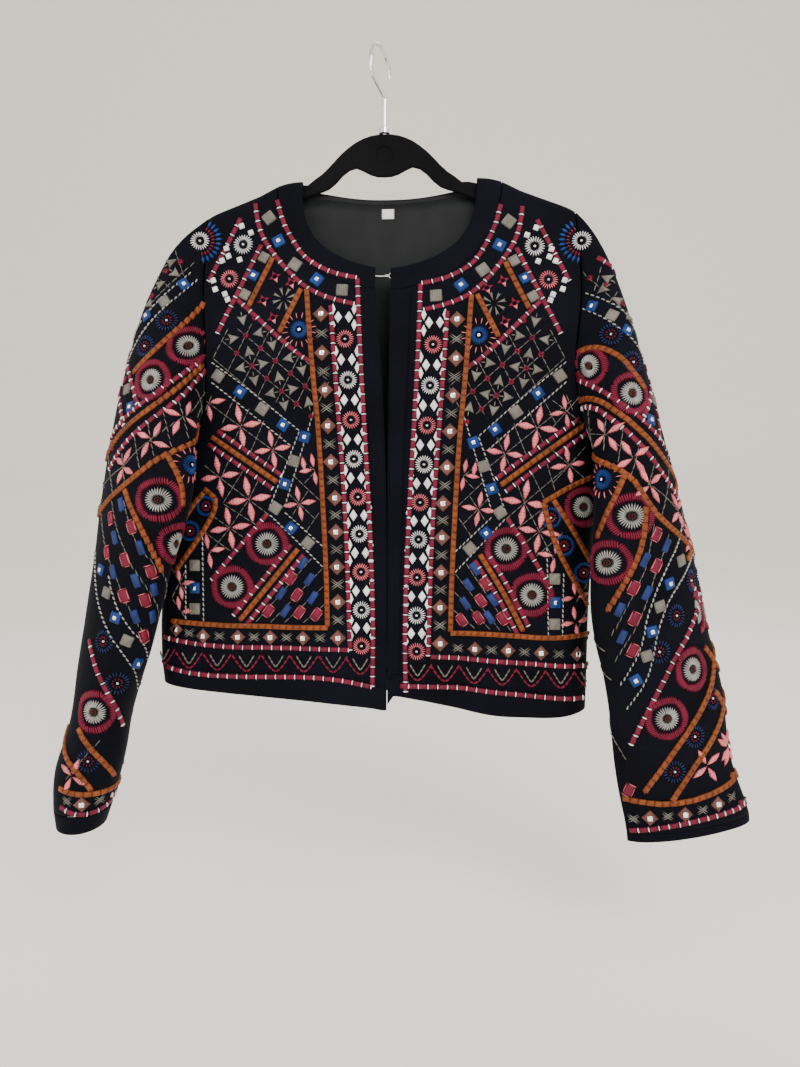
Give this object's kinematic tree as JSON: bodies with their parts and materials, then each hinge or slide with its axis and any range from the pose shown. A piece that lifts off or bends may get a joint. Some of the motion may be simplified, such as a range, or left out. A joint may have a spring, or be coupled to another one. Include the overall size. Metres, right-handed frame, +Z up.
{
  "type": "embroidered jacket on a coat hanger",
  "caption": "Cropped collarless velvet jacket with folk-style embroidery in crimson, white, blue and orange, hooked at the neck, on a flat black hanger with a wire hook.",
  "frame": {"origin": "inside of the top of the hanger's hook, where a rail carries it", "axes": "+X to the right as seen from the front, +Y to the back of the jacket, +Z up"},
  "size_m": [0.65, 0.1066, 0.7324],
  "materials": {
    "velvet": "matte",
    "lining": "satin",
    "label": "satin",
    "hanger_flock": "matte",
    "steel": "polished"
  },
  "bodies": {
    "root": {"front_left": "velvet", "front_right": "velvet", "front_band_left": "velvet", "front_band_right": "velvet", "back": "velvet", "neck_band": "velvet", "hem_band": "velvet", "sleeve_left": "velvet", "sleeve_right": "velvet", "cuff_left": "velvet", "cuff_right": "velvet", "back_lining": "lining", "label": "label", "closure_hook": "steel", "closure_eye": "steel", "hanger_body": "hanger_flock", "hanger_collar": "steel", "hanger_hook": "steel"}
  },
  "joints": []
}
